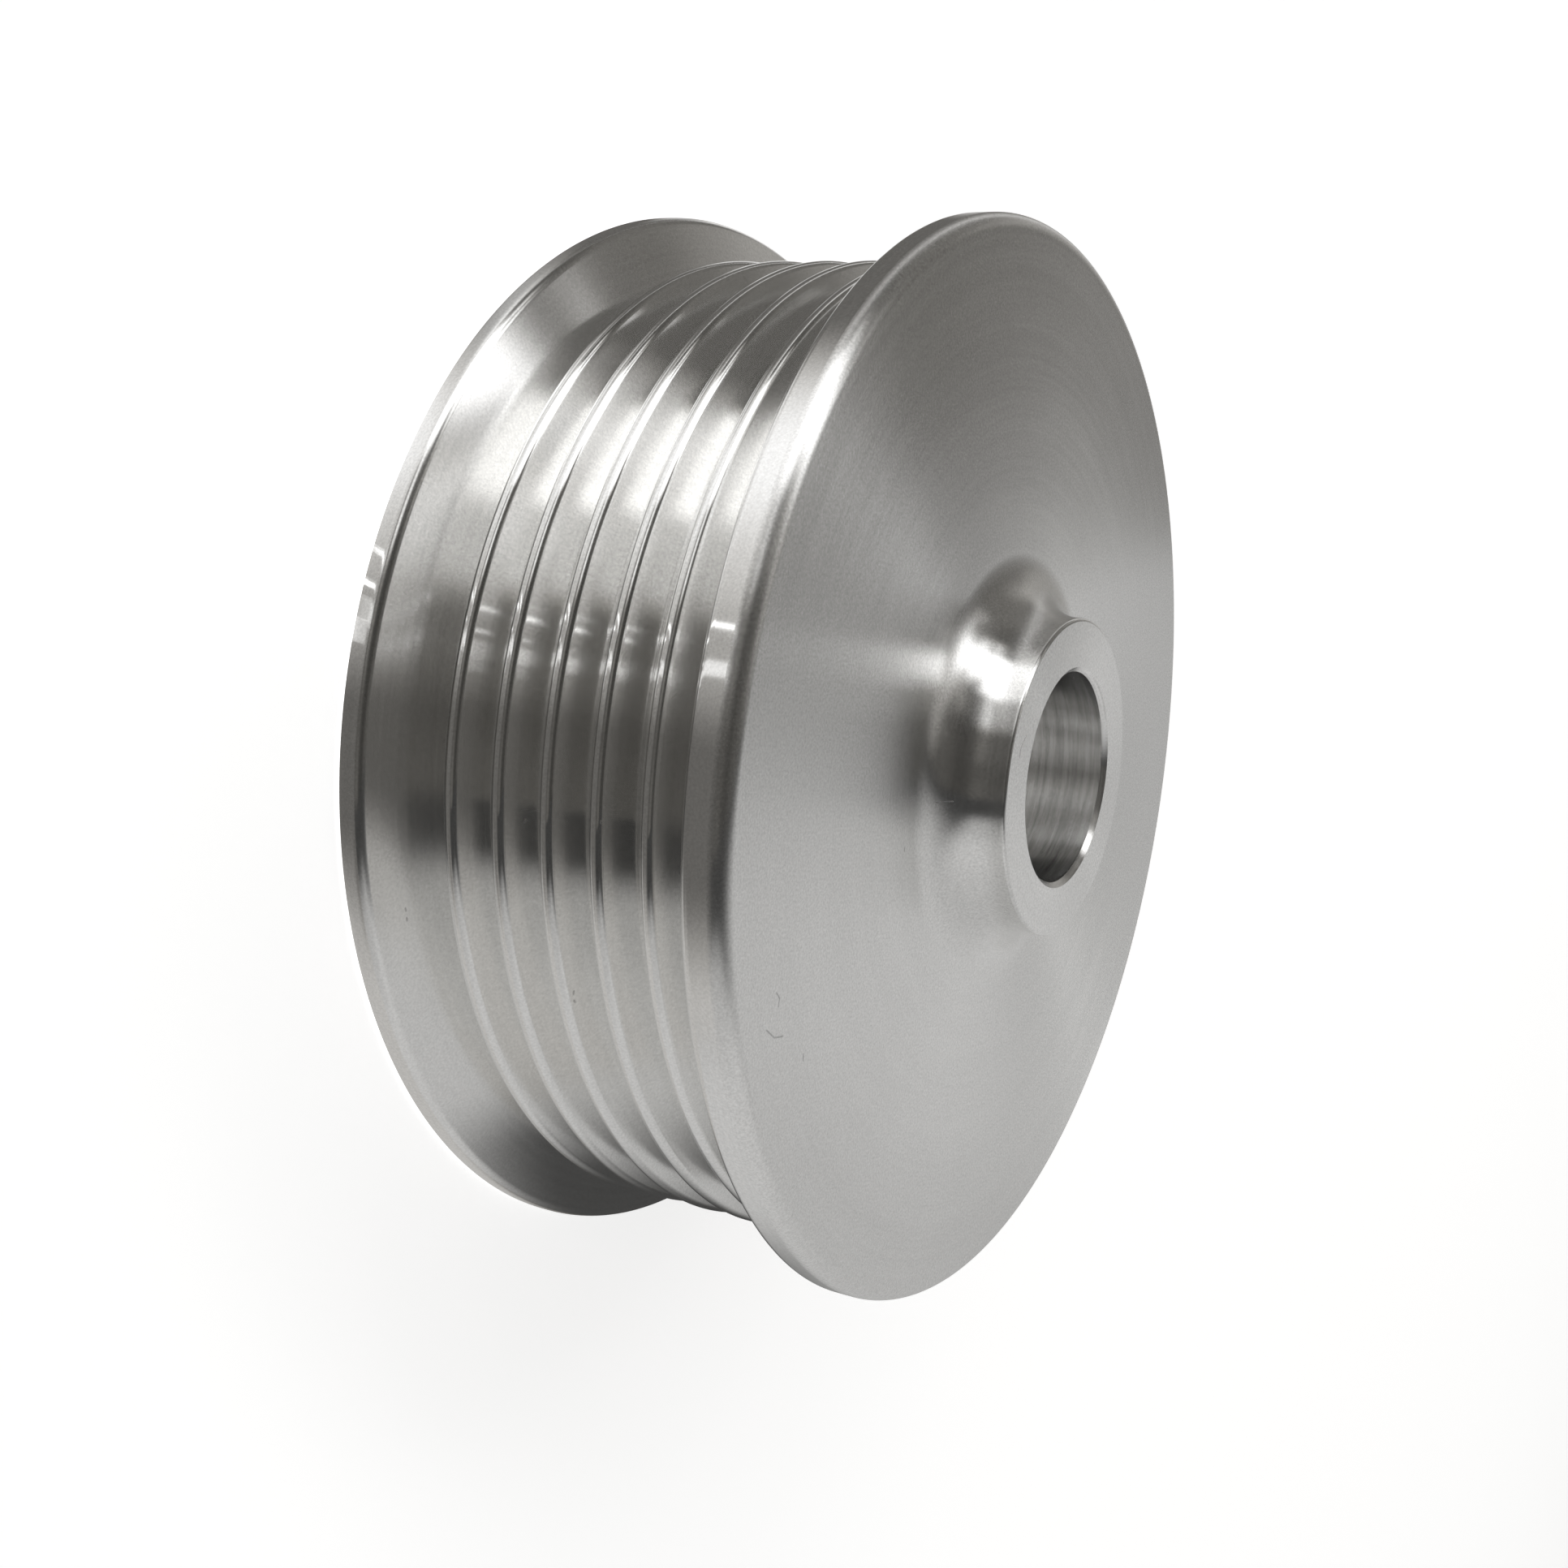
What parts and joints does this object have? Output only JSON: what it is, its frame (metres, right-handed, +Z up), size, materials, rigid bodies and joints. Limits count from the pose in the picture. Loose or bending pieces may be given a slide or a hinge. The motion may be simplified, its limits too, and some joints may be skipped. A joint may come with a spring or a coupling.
{
  "type": "ribbed belt pulley",
  "caption": "Solid turned aluminium ribbed belt pulley: V-groove drum between rounded flanges, filleted hub nose, plain chamfered bore, nut recess underneath.",
  "frame": {"origin": "centre of the bore axis at the nut-side face that the pulley stands on", "axes": "+Z up along the bore axis, from the nut side towards the hub nose; X and Y are any two directions across the axis, since the part is round"},
  "size_m": [0.076, 0.076, 0.0322],
  "materials": {
    "turned_aluminium": "fine turned satin, with circumferential tool marks and a polished hub fillet"
  },
  "bodies": {
    "root": {"ribbed_pulley": "turned_aluminium"}
  },
  "joints": []
}
